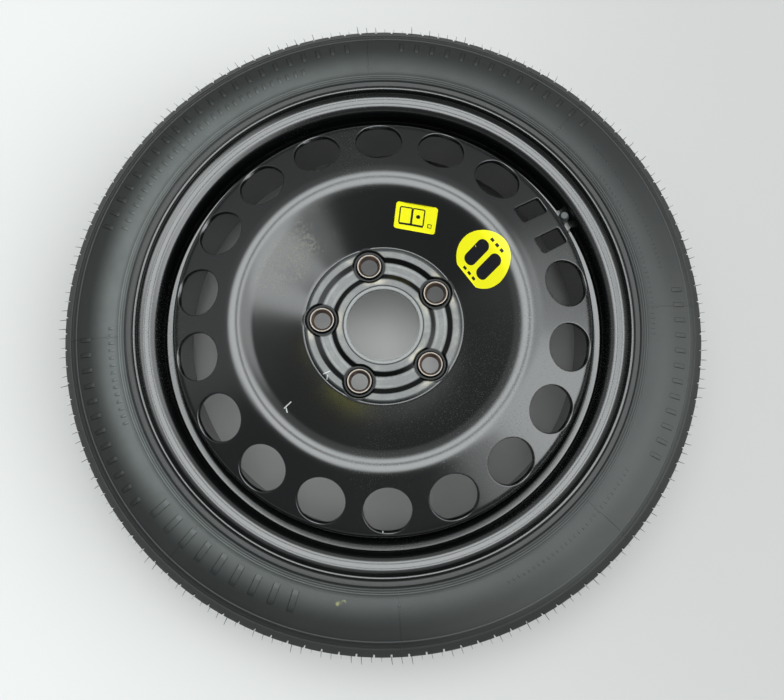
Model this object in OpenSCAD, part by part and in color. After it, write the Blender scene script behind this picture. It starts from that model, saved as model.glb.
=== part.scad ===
// Temporary-use spare wheel: narrow tyre on a two-piece pressed steel wheel.
// The wheel axis is Z. Z = 0 is the hub mounting face, +Z points outboard,
// and the valve stands on the +X side.

/* [Rim] */
// Nominal rim diameter at the bead seats
rim_d = 405.6; // [380:0.2:432]
// Rim width between the flanges
rim_w = 101.6; // [98:0.4:114]
// Height of the rim flange above the bead seat
flange_h = 17.3; // [16:0.1:20]
// Radius of the curl along the flange
curl_r = 9.5; // [8:0.1:11]
// Straight lip past the curl
lip_h = 1.2; // [0.6:0.1:3]
// Thickness of the rim sheet
rim_t = 2.8; // [2:0.1:3.4]
// Height of the round hump inboard of each bead seat
hump_h = 1.3; // [0.6:0.1:2]
// Width of one bead seat
seat_w = 17; // [15:0.5:20]
// Depth of the well below the bead seats
well_d = 14; // [13:0.1:17]
// Width of the well floor
well_w = 24; // [20:0.5:30]
// Outboard shift of the well floor from the rim's middle
well_shift = -2.5; // [-6:0.5:2]
// Height of the valve shelf above the rim's middle plane
shelf_h = 24.5; // [23:0.25:26]
// Fall of the shelf from the bead seat to the well
shelf_fall = 1.8; // [1:0.1:3]

/* [Disc] */
// Offset from the rim's middle plane to the hub mounting face
offset_et = 41; // [36:0.5:46]
// Thickness of the disc sheet
disc_t = 3.8; // [3:0.1:4.4]
// Height of the crown vertex above the mounting face
crown_h = 49.1; // [44:0.5:54]
// Radius at which the crown vertex lies
crown_at = 126; // [120:0.5:132]
// Bend radius of the crown
crown_r = 24; // [18:0.5:30]
// Slope of the vent cone from the horizontal
cone_slope = 26; // [22:0.5:30]
// Bend radius between the vent cone and the skirt
skirt_r = 12; // [9:0.5:16]
// Distance from the rim's middle plane to the inboard end of the skirt
skirt_end = 9; // [6:0.5:12]
// Radial clearance between the skirt and the well floor
disc_fit = 0.08; // [0.04:0.01:0.2]

/* [Hub] */
// Diameter of the centre bore
bore_d = 65.1; // [54:0.1:72]
// Bolt circle diameter
pcd = 110; // [108:0.5:114]
// Number of bolt holes
bolt_n = 5; // [4:1:5]
// Diameter of a bolt hole
bolt_d = 15; // [12:0.1:16]
// Diameter of the cone seat at its mouth
bolt_seat_d = 20; // [19:0.1:21]
// Included angle of the cone seat
bolt_seat_angle = 60; // [50:5:90]
// Height of the bolt seats above the mounting face
bolt_seat_h = 6.8; // [6:0.1:8]
// Outer radius of the raised ring outside the bolts
hub_ring_r = 67; // [66:0.25:69]
// Height of the raised rings above the recessed hub land
hub_rise = 2.4; // [1.5:0.1:3]

/* [Vents] */
// Number of vent positions round the disc, counting the one at the valve
vent_n = 18; // [12:1:18]
// Diameter of a round vent
vent_d = 41.5; // [30:0.5:44]
// Radius of the vent circle
vent_at = 163.5; // [160:0.5:166]
// Length of each valve-side window along the cone
window_l = 30; // [24:0.5:34]
// Width of each valve-side window
window_w = 15; // [10:0.5:18]
// Width of the web between the two windows
window_web = 17.5; // [12:0.5:20]
// Corner radius of the windows
window_r = 2.5; // [1:0.1:5]

/* [Welds] */
// Number of weld runs that join the skirt to the well
weld_n = 6; // [4:1:8]
// Arc of each weld run
weld_arc = 34; // [20:1:40]
// Leg of the weld fillet
weld_leg = 3.4; // [2:0.1:4]

/* [Tyre] */
// Height of the tyre section above the bead seats
section_h = 83.8; // [76:0.2:90]
// Section width of the tyre
tyre_w = 123; // [118:0.5:130]
// Width of the tread band between its shoulders
tread_w = 84; // [76:0.5:90]
// Drop of the tread from its middle to its shoulders
tread_drop = 1.2; // [0.5:0.1:3]
// Thickness of the tread band
tread_t = 10.5; // [9:0.5:13]
// Thickness of the sidewall
wall_t = 7; // [5:0.25:9]
// Number of grooves round the tread
groove_n = 3; // [1:1:5]
// Width of a tread groove
groove_w = 5; // [3:0.25:7]
// Depth of a tread groove
groove_depth = 4; // [2:0.25:5]
// Number of cross slots on each shoulder
slot_n = 120; // [60:1:120]
// Width of a cross slot
slot_w = 1.6; // [1:0.1:4]
// Depth of a cross slot
slot_depth = 3; // [1:0.25:4]
// Reach of a cross slot in from the shoulder
slot_l = 16; // [8:0.5:20]
// Gap between the tyre and the rim
bead_gap = 0.15; // [0.1:0.05:0.4]
// Height of the ring moulded on the sidewall beside the rim
ring_h = 0.8; // [0.4:0.1:1.5]
// Height of the fine ribs moulded below the tread edge
rib_h = 0.5; // [0.3:0.1:0.8]

/* [Valve] */
// Diameter of the valve hole in the rim
valve_hole_d = 11.3; // [10:0.1:12]
// Inward lean of the valve from the wheel axis
valve_lean = 2.5; // [1:0.5:6]
// Distance from the bead seat radius in to the valve's axis
valve_in = 8.5; // [8.3:0.05:8.6]
// Depth of the valve seat below the shelf
valve_sink = 1.6; // [1:0.1:3]
// Length of the valve outside its seat, without the cap
valve_l = 23; // [20:0.5:30]
// Diameter of the rubber foot
valve_foot_d = 15; // [14:0.1:15.4]
// Diameter of the rubber bulb behind the rim
valve_bulb_d = 12.2; // [12:0.1:12.4]
// Diameter of the threaded valve mouth
valve_thread_d = 7.7; // [7.5:0.1:8]
// Length of the threaded mouth past the rubber
valve_thread_l = 8; // [6:0.5:9]
// Bore of the valve stem
valve_bore_d = 4.4; // [4:0.1:4.8]
// Running clearance of moving valve pieces, on the radius
valve_run = 0.06; // [0.03:0.01:0.1]
// Inward travel of the valve pin
pin_travel = 1.2; // [0.8:0.1:1.5]
// Outer diameter of the dust cap
cap_d = 9; // [8.9:0.1:9.4]
// Length of the dust cap
cap_l = 11; // [10:0.5:14]

/* [Labels] */
// Thickness of the printed labels
label_t = 0.3; // [0.2:0.05:0.5]
// Gap between a label and the paint, filled by its adhesive
label_gap = 0.1; // [0.05:0.01:0.2]
// Width of the book label
book_w = 37.5; // [30:0.5:44]
// Height of the book label
book_h = 25; // [18:0.5:28]
// Angle of the book label from the valve
book_angle = 41.2; // [38:0.2:70]
// Radius of the book label's middle
book_at = 97.5; // [96:0.5:102]
// Diameter of the round label
round_d = 51.5; // [36:0.5:52]
// Cut between the round label's middle and its flat side
round_flat = 22; // [16:0.5:22]
// Radius of the round label's middle
round_at = 102.5; // [98:0.5:104]
// Turn of both labels on the wall
label_turn = 7; // [0:0.5:10]

/* [Hidden] */

mid_z = -offset_et;
rim_r = rim_d / 2;
half_w = rim_w / 2;
well_out = well_shift + well_w / 2;
well_in = well_shift - well_w / 2;
well_r = rim_r - well_d;
valve_at = rim_r - valve_in;
skirt_at = well_r - rim_t - disc_fit;
seat_taper = 5;
overlap = 0.01;
smooth = 180;
fine = 48;

// Plane vectors
function unit(v) = v / norm(v);
function left_of(v) = [-v[1], v[0]];
function turn_by(v, a) = [v[0] * cos(a) - v[1] * sin(a), v[0] * sin(a) + v[1] * cos(a)];
function side(u, v) = u[0] * v[1] - u[1] * v[0];

// A bent outline is a list of corners [r, z, bend radius]. It may be drawn at a
// distance to the left of its corners, so that two outlines make one sheet.
function corner(path, i) = [path[i][0], path[i][1]];
function shifted(path, i, d) =
    i == 0 ? corner(path, 0) + d * left_of(unit(corner(path, 1) - corner(path, 0))) :
    i == len(path) - 1 ? corner(path, i) + d * left_of(unit(corner(path, i) - corner(path, i - 1))) :
    let (a = left_of(unit(corner(path, i) - corner(path, i - 1))),
         b = left_of(unit(corner(path, i + 1) - corner(path, i))))
    corner(path, i) + d * (a + b) / (1 + a * b);
function bend(path, i, d, step) =
    let (u = unit(corner(path, i) - corner(path, i - 1)),
         v = unit(corner(path, i + 1) - corner(path, i)),
         way = side(u, v) > 0 ? 1 : -1,
         r = path[i][2] - way * d,
         turn = acos(min(1, u * v)),
         start = shifted(path, i, d) - r * tan(turn / 2) * u,
         middle = start + way * r * left_of(u),
         n = max(1, ceil(turn / step)))
    [for (k = [0:n]) middle + turn_by(start - middle, way * turn * k / n)];
function bent(path, d = 0, step = 9) = [
    for (i = [0:len(path) - 1])
        each i == 0 || i == len(path) - 1 || path[i][2] == 0 ? [shifted(path, i, d)] : bend(path, i, d, step)];
function backwards(list) = [for (i = [len(list) - 1:-1:0]) list[i]];
function mirrored(list) = [for (p = backwards(list)) [p[0], -p[1], p[2]]];
function sheet(path, t) = concat(bent(path, 0), backwards(bent(path, t)));

// Rim outline on the tyre side, from the outboard lip to the inboard one
seat_end = half_w - seat_w;
seat_end_r = rim_r - seat_w * tan(seat_taper);
hump_r = seat_end_r + hump_h;
hump_at = seat_end - 3.5;
hump_fall = 0.4;
shelf_under = shelf_h - rim_t;
well_flare = 4;
heel_bend = 6.5;
seat_bend = 6;
hump_bend = 3;
shelf_bend = 4.5;
well_bend = 4;
floor_bend = 5;
function rim_edge(floor_end) = [
    [rim_r + flange_h, half_w + curl_r + lip_h, 0],
    [rim_r + flange_h, half_w, curl_r],
    [rim_r, half_w, heel_bend],
    [seat_end_r, seat_end, seat_bend],
    [hump_r, hump_at, hump_bend],
    [hump_r - hump_fall, shelf_under, shelf_bend],
    [well_r + well_flare, shelf_under - shelf_fall, well_bend],
    [well_r, floor_end, floor_bend]];
rim_path = concat(rim_edge(well_out), mirrored(rim_edge(-well_in)));

// The pressed seat of the valve, and the room for its bulb behind the shelf
pocket_h = 6;
pocket_rise = 2.5;
pocket_r = valve_foot_d / 2 + 0.3;
well_gap = 1.05;
boss_r = valve_at - (skirt_at + well_gap);
bulb_l = 9;
bulb_room = valve_bulb_d / 2 + 0.2;
pocket_under = rim_t + bulb_l + 1.5;
cup_r = pocket_r + rim_t;
cup_in = 3;

// Outer face of the disc, from the bore to the end of the skirt
land_z = disc_t;
ring_z = land_z + hub_rise;
collar_r = 41.5;
land_in_r = 45;
land_out_r = 56;
ring_in_r = 59.5;
hub_bend = 4.5;
ring_bend = 5;
valley_bend = 6;
valley_r = hub_ring_r + hub_bend;
valley_z = land_z + 0.4;
skirt_top = crown_h - (skirt_at - crown_at) * tan(cone_slope);
disc_path = [
    [bore_d / 2, ring_z, 0],
    [collar_r, ring_z, hub_bend],
    [land_in_r, land_z, hub_bend],
    [land_out_r, land_z, hub_bend],
    [ring_in_r, ring_z, hub_bend],
    [hub_ring_r, ring_z, ring_bend],
    [valley_r, valley_z, valley_bend],
    [crown_at, crown_h, crown_r],
    [skirt_at, skirt_top, skirt_r],
    [skirt_at, mid_z - skirt_end, 0]];
wall_slope = atan((crown_h - valley_z) / (crown_at - valley_r));
vent_z = crown_h - (vent_at - crown_at) * tan(cone_slope);
window_turn = (window_web + window_w) / 2;
moat_r = bolt_seat_d / 2 + 4.2;
lobe_r = bolt_seat_d / 2 + 6.5;
boss_foot_r = bolt_seat_d / 2 + 2.2;
boss_top_r = bolt_seat_d / 2 + 0.8;
seat_h = (bolt_seat_d - bolt_d) / 2 / tan(bolt_seat_angle / 2);

// Tyre section, outboard half, from the bead toe over the sidewall to the tread
half_tyre = tyre_w / 2 - ring_h;
tyre_r = rim_r + section_h;
shoulder_z = tread_w / 2;
shoulder_r = tyre_r - tread_drop;
flange_r = rim_r + flange_h;
wall_h = shoulder_r - flange_r;
toe_z = seat_end + 0.5;
bead_top = half_w + curl_r - 0.5;
bead_edge = 1.6;
belly_out = 0.4 * wall_h;
belly_bend = 1.38 * wall_h;
edge_run = 12.9;
edge_fall = 0.675 * (half_tyre - shoulder_z);
edge_bend = 14;
tyre_out = [
    [seat_end_r + bead_gap, toe_z, 0],
    [rim_r + bead_gap, half_w - bead_gap, heel_bend + bead_gap],
    [flange_r + bead_gap, half_w - bead_gap, curl_r + bead_gap],
    [flange_r + bead_gap, bead_top, 0],
    [flange_r + bead_edge, half_tyre, 1],
    [flange_r + belly_out, half_tyre, belly_bend],
    [shoulder_r - edge_run, shoulder_z + edge_fall, edge_bend],
    [shoulder_r, shoulder_z, 1.5],
    [tyre_r, 0, 0]];

// The air side of the section
liner_z = half_tyre - wall_t;
bead_w = 9;
apex_run = 4;
apex_bend = 12;
liner_run = 0.383 * wall_h;
liner_bend = 0.478 * wall_h;
crown_drop = 2;
crown_out = 2;
crown_bend = 16;
tyre_in = [
    [seat_end_r + bead_gap, toe_z, 0],
    [rim_r + bead_w, seat_end, seat_bend],
    [flange_r + apex_run, liner_z, apex_bend],
    [flange_r + liner_run, liner_z, liner_bend],
    [shoulder_r - tread_t - crown_drop, shoulder_z + crown_out, crown_bend],
    [tyre_r - tread_t, 0, 0]];

// Rings moulded on the sidewall: [radius, height of the wall there, width, rise]
ring_run = 6;
ring_w = 1.6;
rib_w = 1.4;
rib_runs = [-1.6, 4];
edge_z = shoulder_z + edge_fall;
wall_fall = (half_tyre - edge_z) / (wall_h - belly_out - edge_run);
side_rings = concat([[flange_r + ring_run, half_tyre, ring_w, ring_h]],
    [for (run = rib_runs)
        [shoulder_r - edge_run + run, edge_z - run * (run < 0 ? wall_fall : edge_fall / edge_run), rib_w, rib_h]]);

module on_ring(n, from = 0) {
    for (k = [0:n - 1]) rotate([0, 0, from + 360 * k / n]) children();
}

module ring_at(r, z, w, h) {
    translate([0, 0, z]) difference() {
        cylinder(h = h, r = r + w / 2, $fn = smooth);
        translate([0, 0, -overlap]) cylinder(h = h + 2 * overlap, r = r - w / 2, $fn = smooth);
    }
}

module tyre_section() {
    outer = bent(tyre_out);
    inner = bent(tyre_in);
    half = concat(outer, backwards(inner));
    polygon([for (p = half) [p[0], max(0, p[1])]]);
    mirror([0, 1]) polygon([for (p = half) [p[0], max(0, p[1])]]);
}

module tread_slots() {
    past = 4;
    on_ring(slot_n)
        translate([shoulder_r - slot_depth, -slot_w / 2, shoulder_z - slot_l])
            cube([slot_depth + past, slot_w, slot_l + past]);
}

module tyre() {
    color("#2b2f2f") translate([0, 0, mid_z]) difference() {
        union() {
            rotate_extrude($fn = smooth) tyre_section();
            for (s = [0, 1], g = side_rings)
                mirror([0, 0, s]) ring_at(g[0], g[1] - g[2] / 2, g[2], g[3] + g[2] / 2);
        }
        for (k = [0:groove_n - 1])
            ring_at(tyre_r, (k - (groove_n - 1) / 2) * tread_w / (groove_n + 1) - groove_w / 2,
                    2 * groove_depth, groove_w);
        tread_slots();
        mirror([0, 0, 1]) rotate([0, 0, 180 / slot_n]) tread_slots();
    }
}

module at_valve() {
    translate([valve_at, 0, mid_z + shelf_h - valve_sink]) rotate([0, -valve_lean, 0]) children();
}

// The rim is pressed to a flat pocket round the valve, deeper than its foot
module rim() {
    color("#15171a") difference() {
        union() {
            translate([0, 0, mid_z]) rotate_extrude($fn = smooth) polygon(sheet(rim_path, -rim_t));
            at_valve() translate([0, 0, -pocket_under]) cylinder(h = pocket_under, r = boss_r, $fn = fine);
            intersection() {
                at_valve() translate([0, 0, -rim_t])
                    cylinder(h = rim_t + pocket_h + pocket_rise, r = cup_r, $fn = fine);
                translate([0, 0, mid_z]) ring_at(rim_r + cup_in, 0, 4 * cup_in, half_w);
            }
        }
        at_valve() translate([0, 0, -2 * rim_t]) cylinder(h = 4 * rim_t, d = valve_hole_d, $fn = fine);
        at_valve() cylinder(h = pocket_h, r = pocket_r, $fn = fine);
        at_valve() translate([0, 0, -pocket_under - 1])
            cylinder(h = pocket_under + 1 - rim_t, r = bulb_room, $fn = fine);
    }
}

module on_cone() {
    translate([vent_at, 0, vent_z]) rotate([0, cone_slope, 0]) children();
}

module window_outline() {
    translate([-window_l / 2 + window_r, -window_w / 2])
        square([window_l - 2 * window_r, window_w]);
    translate([-window_l / 2, -window_w / 2 + window_r])
        square([window_l, window_w - 2 * window_r]);
    for (x = [-1, 1], y = [-1, 1])
        translate([x * (window_l / 2 - window_r), y * (window_w / 2 - window_r)])
            circle(r = window_r, $fn = 24);
}

module bolt_lobes() {
    on_ring(bolt_n) translate([pcd / 2, 0, 0]) {
        difference() {
            translate([0, 0, valley_z - 1]) cylinder(h = ring_z - valley_z + 1, r = lobe_r, $fn = fine);
            translate([0, 0, land_z - 1]) cylinder(h = hub_rise + 2, r = moat_r, $fn = fine);
            translate([-pcd, -pcd / 2, 0]) cube([pcd + 3, pcd, 2 * ring_z]);
        }
    }
}

module disc() {
    color("#1a1d20") difference() {
        union() {
            difference() {
                rotate_extrude($fn = smooth) polygon(sheet(disc_path, -disc_t));
                on_ring(bolt_n) translate([pcd / 2, 0, land_z]) cylinder(h = hub_rise + 1, r = moat_r, $fn = fine);
            }
            bolt_lobes();
            on_ring(bolt_n) translate([pcd / 2, 0, 0])
                cylinder(h = bolt_seat_h, r1 = boss_foot_r, r2 = boss_top_r, $fn = fine);
        }
        on_ring(bolt_n) translate([pcd / 2, 0, 0]) {
            translate([0, 0, -1]) cylinder(h = bolt_seat_h + 2, d = bolt_d, $fn = fine);
            translate([0, 0, bolt_seat_h - seat_h])
                cylinder(h = seat_h + overlap, d1 = bolt_d, d2 = bolt_seat_d, $fn = fine);
        }
        for (k = [1:vent_n - 1]) rotate([0, 0, 360 * k / vent_n])
            on_cone() cylinder(h = 8 * disc_t, d = vent_d, center = true, $fn = fine);
        for (s = [-1, 1]) on_cone() translate([0, s * window_turn, -4 * disc_t])
            linear_extrude(height = 8 * disc_t) window_outline();
    }
}

module weld_beads() {
    top = mid_z - skirt_end - disc_fit;
    bulge = 0.72 * weld_leg;
    section = [[skirt_at, top], [skirt_at, top - weld_leg], [skirt_at - weld_leg / 2, top - bulge],
               [skirt_at - weld_leg, top]];
    color("#23262a") on_ring(weld_n, 360 / weld_n / 2 - weld_arc / 2)
        rotate_extrude(angle = weld_arc, $fn = smooth) polygon(section);
}

// Valve pieces stand on their own axis, with z = 0 on the seat
seat_gap = 0.05;
stem_r = valve_bore_d / 2 + 0.85;
stem_foot = -rim_t - 6;
rubber_top = valve_l - valve_thread_l;
core_top = valve_l - 1.5;
core_low = rubber_top - 6;
pin_r = 0.75;
pin_low = core_low - 4;
seal_h = 1.4;
seal_top = core_low - valve_run - seat_gap;
chamber_r = 1.6;
chamber_low = core_low + 2;
chamber_h = 6.5;
spring_low = chamber_low + seat_gap;
spring_r = 1.2;
spring_wire = 0.22;
spring_turns = 5;
spring_l = 2 * spring_turns * spring_wire + 2 * pin_travel;

module valve_body() {
    hole_r = valve_hole_d / 2 - seat_gap;
    foot_r = valve_foot_d / 2;
    foot_h = 2.2;
    neck_r = valve_thread_d / 2 + 0.1;
    bulb_r = valve_bulb_d / 2;
    bulb_end_r = stem_r + 2.2;
    under = -rim_t - seat_gap;
    sleeve_r = stem_r + 0.02;
    outline = [[sleeve_r, -rim_t - bulb_l], [bulb_end_r, -rim_t - bulb_l], [bulb_r, -rim_t - bulb_l / 2],
               [bulb_r, under], [hole_r, under], [hole_r, seat_gap], [foot_r, seat_gap], [foot_r, foot_h],
               [foot_r - foot_h, foot_h + 1.4], [neck_r + 0.1, foot_h + 3.6], [neck_r, rubber_top],
               [sleeve_r, rubber_top]];
    color("#1b1c1d") at_valve() rotate_extrude($fn = fine) polygon(outline);
}

module valve_stem() {
    thread_r = valve_thread_d / 2;
    chamfer = 0.5;
    outline = [[valve_bore_d / 2, stem_foot], [stem_r, stem_foot], [stem_r, rubber_top + seat_gap],
               [thread_r, rubber_top + seat_gap], [thread_r, valve_l - chamfer], [thread_r - chamfer, valve_l],
               [valve_bore_d / 2, valve_l]];
    color("#b89b52") at_valve() rotate_extrude($fn = fine) polygon(outline);
}

module core_body() {
    slide_r = pin_r + valve_run;
    barrel_r = valve_bore_d / 2 - valve_run;
    head_h = 4;
    color("#c7b277") at_valve() difference() {
        union() {
            translate([0, 0, core_low]) cylinder(h = core_top - head_h - core_low, r = barrel_r, $fn = fine);
            translate([0, 0, core_top - head_h - 0.2]) cylinder(h = head_h, r = barrel_r - 0.2, $fn = fine);
        }
        translate([0, 0, core_low - 1]) cylinder(h = core_top, r = slide_r, $fn = fine);
        translate([0, 0, chamber_low]) cylinder(h = chamber_h, r = chamber_r, $fn = fine);
    }
}

module core_seal() {
    seal_r = 1.75;
    color("#202020") at_valve() translate([0, 0, seal_top - seal_h]) difference() {
        cylinder(h = seal_h, r = seal_r, $fn = fine);
        translate([0, 0, -1]) cylinder(h = seal_h + 2, r = pin_r + 0.02, $fn = fine);
    }
}

module core_pin() {
    pin_top = valve_l - 0.6;
    disc_r = 1.5;
    collar_r = 1.4;
    collar_h = 0.8;
    color("#d2c08a") at_valve() {
        translate([0, 0, pin_low]) cylinder(h = pin_top - pin_low, r = pin_r, $fn = 32);
        translate([0, 0, pin_low]) cylinder(h = seal_top - seal_h - valve_run - pin_low, r = disc_r, $fn = 32);
        translate([0, 0, spring_low + spring_l]) cylinder(h = collar_h, r = collar_r, $fn = 32);
    }
}

// The return spring is one wire swept along a helix
function coil_at(t) = [spring_r * cos(360 * spring_turns * t), spring_r * sin(360 * spring_turns * t),
                       spring_wire + (spring_l - 2 * spring_wire) * t];
function wire_ring(t) =
    let (out = [cos(360 * spring_turns * t), sin(360 * spring_turns * t), 0])
    [for (a = [0:60:300]) coil_at(t) + (spring_wire - 0.02) * (cos(a) * out + sin(a) * [0, 0, 1])];

module core_spring() {
    rings = spring_turns * 12;
    points = [for (k = [0:rings]) each wire_ring(k / rings)];
    walls = [for (k = [0:rings - 1], j = [0:5])
        [6 * k + j, 6 * k + 6 + j, 6 * k + 6 + (j + 1) % 6, 6 * k + (j + 1) % 6]];
    ends = [[0, 1, 2, 3, 4, 5], [for (j = [5:-1:0]) 6 * rings + j]];
    color("#9aa0a3") at_valve() translate([0, 0, spring_low]) polyhedron(points, concat(ends, walls));
}

cap_low = rubber_top + 0.3;
cap_crown = 2.6;
cap_seal_h = 0.65;

module valve_cap() {
    bore_r = valve_thread_d / 2 + valve_run;
    side_h = cap_l - cap_crown;
    bore_top = valve_l + 2 * seat_gap + cap_seal_h;
    rib_r = 0.2;
    color("#7d8285") at_valve() difference() {
        union() {
            translate([0, 0, cap_low]) cylinder(h = side_h, d = cap_d, $fn = fine);
            translate([0, 0, cap_low + side_h]) cylinder(h = cap_crown, d1 = cap_d, d2 = cap_d - 3, $fn = fine);
            on_ring(12) translate([cap_d / 2, 0, cap_low]) cylinder(h = side_h - 4 * rib_r, r = rib_r, $fn = 16);
        }
        translate([0, 0, rubber_top - 1]) cylinder(h = bore_top - rubber_top + 1, r = bore_r, $fn = fine);
    }
}

module cap_seal() {
    eye_r = 1.7;
    color("#c9543a") at_valve() translate([0, 0, valve_l + seat_gap]) difference() {
        cylinder(h = cap_seal_h, r = valve_thread_d / 2 - seat_gap, $fn = fine);
        translate([0, 0, -1]) cylinder(h = cap_seal_h + 2, r = eye_r, $fn = fine);
    }
}

// A label lies on the dished wall between the hub and the crown
module label_skin() {
    lift = label_gap;
    rotate_extrude($fn = smooth)
        polygon(concat(bent(disc_path, lift, 4), backwards(bent(disc_path, lift + label_t, 4))));
}

module on_wall(at) {
    translate([at, 0, valley_z + (at - valley_r) * tan(wall_slope)])
        rotate([0, -wall_slope, 0]) rotate([0, 0, label_turn]) children();
}

module book_label() {
    corner_r = 2.5;
    color("#f2f215") rotate([0, 0, book_angle]) intersection() {
        label_skin();
        on_wall(book_at) translate([0, 0, -8]) linear_extrude(height = 16) union() {
            translate([-book_h / 2 + corner_r, -book_w / 2]) square([book_h - 2 * corner_r, book_w]);
            translate([-book_h / 2, -book_w / 2 + corner_r]) square([book_h, book_w - 2 * corner_r]);
            for (x = [-1, 1], y = [-1, 1])
                translate([x * (book_h / 2 - corner_r), y * (book_w / 2 - corner_r)]) circle(r = corner_r, $fn = 24);
        }
    }
}

module round_label() {
    color("#f2f215") intersection() {
        label_skin();
        on_wall(round_at) translate([0, 0, -8]) linear_extrude(height = 16) intersection() {
            circle(d = round_d, $fn = fine);
            translate([-round_flat, -round_d]) square([2 * round_d, 2 * round_d]);
        }
    }
}

tyre();
rim();
disc();
weld_beads();
valve_body();
valve_stem();
core_body();
core_seal();
core_pin();
core_spring();
valve_cap();
cap_seal();
book_label();
round_label();
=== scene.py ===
import math
import bpy
import bmesh
import numpy as np
from mathutils import Matrix, Vector
from mathutils.geometry import delaunay_2d_cdt


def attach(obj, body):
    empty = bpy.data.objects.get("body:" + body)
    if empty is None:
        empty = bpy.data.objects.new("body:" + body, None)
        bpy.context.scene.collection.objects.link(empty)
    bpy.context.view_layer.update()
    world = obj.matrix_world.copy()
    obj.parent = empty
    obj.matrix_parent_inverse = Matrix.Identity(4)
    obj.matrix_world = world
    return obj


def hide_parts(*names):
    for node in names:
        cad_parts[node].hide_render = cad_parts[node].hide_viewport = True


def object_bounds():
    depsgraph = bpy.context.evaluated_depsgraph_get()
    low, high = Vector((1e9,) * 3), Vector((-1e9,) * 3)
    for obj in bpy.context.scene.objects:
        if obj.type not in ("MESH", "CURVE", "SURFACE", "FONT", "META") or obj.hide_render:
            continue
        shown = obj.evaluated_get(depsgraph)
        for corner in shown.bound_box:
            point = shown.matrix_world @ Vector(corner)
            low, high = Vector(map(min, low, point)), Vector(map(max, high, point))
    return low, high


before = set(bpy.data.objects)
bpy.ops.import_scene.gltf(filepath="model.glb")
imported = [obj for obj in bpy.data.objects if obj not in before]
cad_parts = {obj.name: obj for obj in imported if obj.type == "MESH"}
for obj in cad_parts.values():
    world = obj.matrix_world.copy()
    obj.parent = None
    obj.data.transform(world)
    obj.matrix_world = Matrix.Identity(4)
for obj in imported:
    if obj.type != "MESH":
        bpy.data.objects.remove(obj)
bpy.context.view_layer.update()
mm = 0.001
degree = 180.0 / math.pi  # degrees in a radian
print("frame loaded with", len(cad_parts), "solids")


# the camera looks down on the wheel from a little to one side
view = {"place": (-71.6, -131.7, 755.9), "right": (0.8526, -0.5225, 0.0), "ahead": (0.0871, 0.1421, -0.9860),
        "lens": 39.3, "sensor": 36.0}
# soft studio panels, of which the strongest counts: from and to in degrees round the axis, soft edge, from
# and to in degrees above the floor, soft edge, strength. A small round shade dims them: its angle round the
# axis, its angle above the floor, and the angles from its middle where it is full and where it has gone
light = {"sky": 0.13, "colour": (0.955, 0.995, 1.0), "shade": (61.0, 79.0, 2.5, 6.5),
         "panels": [((-69, -22), 5, (22, 96), 4, 3.0), ((-44, -25), 4, (14, 40), 3, 2.7),
                    ((-30, 12), 12, (27, 96), 8, 1.9), ((-88, -66), 7, (23, 96), 5, 1.2),
                    ((14, 152), 20, (57, 110), 8, 4.1), ((-200, 200), 5, (72, 110), 5, 4.1),
                    ((-10, 165), 14, (20, 110), 12, 0.42)]}
# the floor fades darker across the picture, painted shade, with a pale painted pool of light under the bore
studio = {"size": 9000.0, "tones": ((0.75, 0.745, 0.735), (0.55, 0.545, 0.535)), "fade": (-420.0, 460.0),
          "mottle": 60.0, "spot": (0.90, 0.895, 0.88), "spotEdge": (110.0, 60.0)}


class Wire:
    # one socket of a node tree, so that sums can be written as sums
    def __init__(self, graph, socket):
        self.graph, self.socket = graph, socket

    def __add__(self, other):
        return self.graph.maths("ADD", self, other)

    def __radd__(self, other):
        return self.graph.maths("ADD", other, self)

    def __sub__(self, other):
        return self.graph.maths("SUBTRACT", self, other)

    def __rsub__(self, other):
        return self.graph.maths("SUBTRACT", other, self)

    def __mul__(self, other):
        return self.graph.maths("MULTIPLY", self, other)

    def __rmul__(self, other):
        return self.graph.maths("MULTIPLY", other, self)

    def __truediv__(self, other):
        return self.graph.maths("DIVIDE", self, other)


class Graph:
    def __init__(self, tree):
        self.tree = tree

    def node(self, kind, settings=None, values=None):
        made = self.tree.nodes.new(kind)
        for key, value in (settings or {}).items():
            setattr(made, key, value)
        for key, value in (values or {}).items():
            if isinstance(value, Wire):
                self.tree.links.new(value.socket, made.inputs[key])
            else:
                made.inputs[key].default_value = value
        return made

    def wire(self, kind, settings=None, values=None, output=0):
        return Wire(self, self.node(kind, settings, values).outputs[output])

    def maths(self, operation, a, b=0.0):
        return self.wire("ShaderNodeMath", {"operation": operation}, {0: a, 1: b})

    def step(self, value, low, high):
        # 0 up to low, 1 from high on, smooth between; low may be the larger one
        return self.wire("ShaderNodeMapRange", {"interpolation_type": "SMOOTHSTEP"},
                         {0: value, 1: low, 2: high, 3: 0.0, 4: 1.0})

    def band(self, value, low, high, edge):
        return self.step(value, low - edge, low + edge) * self.step(value, high + edge, high - edge)

    def bands(self, value, spans):
        found = [self.band(value, *span) for span in spans]
        return sum(found[1:], found[0])

    def mix(self, share, a, b):
        a, b = (c if isinstance(c, Wire) else (*c, 1.0) for c in (a, b))
        return self.wire("ShaderNodeMix", {"data_type": "RGBA"}, {0: share, 6: a, 7: b}, 2)


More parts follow.
